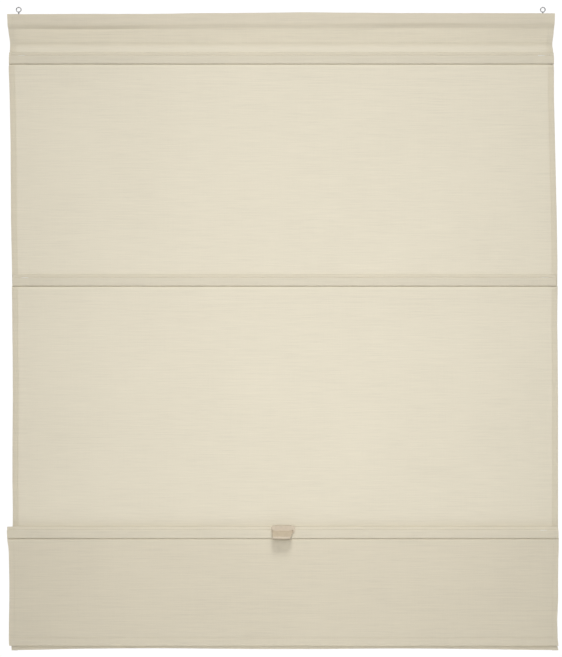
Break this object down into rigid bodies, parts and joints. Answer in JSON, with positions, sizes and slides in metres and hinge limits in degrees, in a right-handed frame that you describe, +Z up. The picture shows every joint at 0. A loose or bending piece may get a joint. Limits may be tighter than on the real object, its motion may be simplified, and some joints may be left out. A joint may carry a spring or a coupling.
{
  "type": "roman blind",
  "caption": "Cordless cloth roman blind hung from screw eyes, with stiff rods in sewn tucks that catch on each other by magnets, a turned-up lower fold and a moulded pull.",
  "frame": {"origin": "midway between the centres of the two screw eyes at the top of the blind", "axes": "+X to the right as seen from the room, -Y towards the room, +Z up"},
  "size_m": [1.0074, 0.0419, 1.1771],
  "materials": {
    "cloth": "plain woven beige cloth with fine slubs, lets light through",
    "batten_wood": "planed softwood",
    "plated_wire": "plated steel wire",
    "rod_metal": "drawn flat bar, satin",
    "magnet_metal": "nickel plated",
    "cap_plastic": "soft off-white plastic",
    "pull_plastic": "satin tan moulding"
  },
  "bodies": {
    "head": {"header_cloth": "cloth", "top_batten": "batten_wood", "screw_eye_left": "plated_wire", "screw_eye_right": "plated_wire", "upper_panel": "cloth", "rod_1": "rod_metal", "rod_1_magnets": "magnet_metal", "rod_1_end_caps": "cap_plastic"},
    "middle_bar": {"tuck_2": "cloth", "rod_2": "rod_metal", "rod_2_magnets": "magnet_metal", "rod_2_end_caps": "cap_plastic", "middle_panel": "cloth"},
    "lower_bar": {"tuck_3": "cloth", "rod_3": "rod_metal", "rod_3_magnets": "magnet_metal", "rod_3_end_caps": "cap_plastic", "fold_loop": "cloth"},
    "pull_bar": {"front_skirt": "cloth", "rod_4": "rod_metal", "rod_4_magnets": "magnet_metal", "rod_4_end_caps": "cap_plastic", "handle": "pull_plastic"}
  },
  "joints": [
    {"name": "middle_bar_lift", "type": "slide", "parent": "head", "child": "middle_bar", "axis": [0, -0.0183, 0.9998], "range_m": [0, 0.40397], "deforming": ["upper_panel"]},
    {"name": "lower_bar_lift", "type": "slide", "parent": "middle_bar", "child": "lower_bar", "axis": [0, -0.0161, 0.9999], "range_m": [0, 0.45826], "deforming": ["middle_panel"]},
    {"name": "pull_bar_lower", "type": "slide", "parent": "lower_bar", "child": "pull_bar", "axis": [0, -0.0191, 0.9998], "range_m": [-0.40647, 0], "deforming": ["fold_loop"]}
  ]
}
